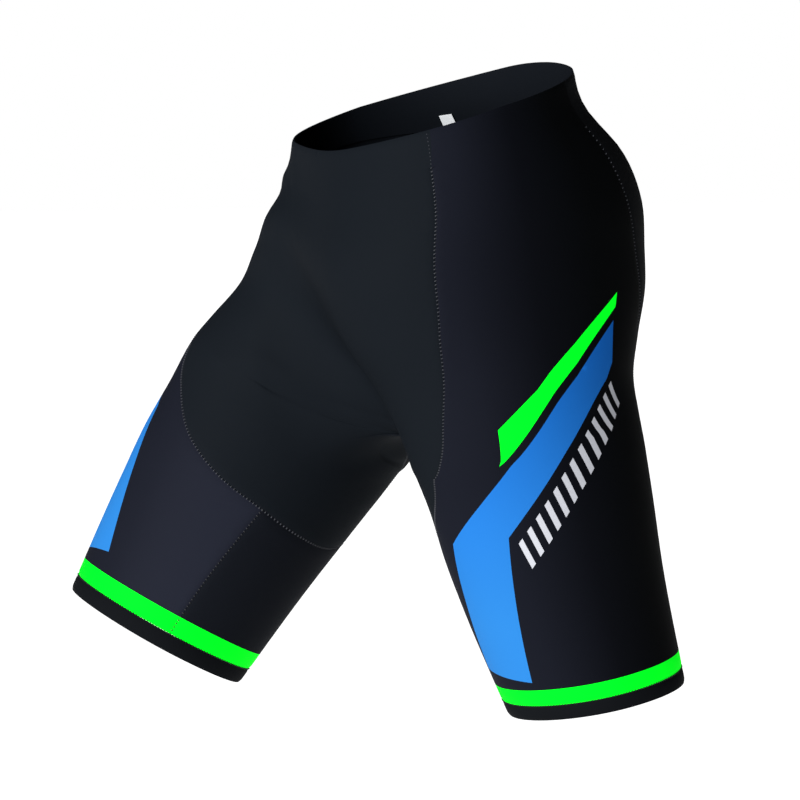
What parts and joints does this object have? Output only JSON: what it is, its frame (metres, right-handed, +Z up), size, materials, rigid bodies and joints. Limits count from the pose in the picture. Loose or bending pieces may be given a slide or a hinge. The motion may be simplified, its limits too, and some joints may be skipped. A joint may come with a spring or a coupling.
{
  "type": "cycling shorts",
  "caption": "Close-fitting black cycling shorts, hollow and filled out in a stride, with bent blue and green flashes and a green stripe above each elastic hem",
  "frame": {"origin": "middle of the waist opening, where the wearer's waist holds the shorts up", "axes": "+Z up, the wearer faces -Y, the wearer's left is +X"},
  "size_m": [0.4098, 0.4165, 0.5183],
  "materials": {
    "knit": "smooth warp knit of polyester and elastane with a soft sheen, printed blue and green",
    "elastic": "knit folded over elastic, matt black",
    "label_tape": "blank white woven tape"
  },
  "bodies": {
    "root": {"waistband": "elastic", "front_panel": "knit", "side_panel_left": "knit", "side_panel_right": "knit", "back_panel_left": "knit", "back_panel_right": "knit", "inner_leg_panel_left": "knit", "inner_leg_panel_right": "knit", "leg_gripper_left": "elastic", "leg_gripper_right": "elastic", "care_label": "label_tape"}
  },
  "joints": []
}
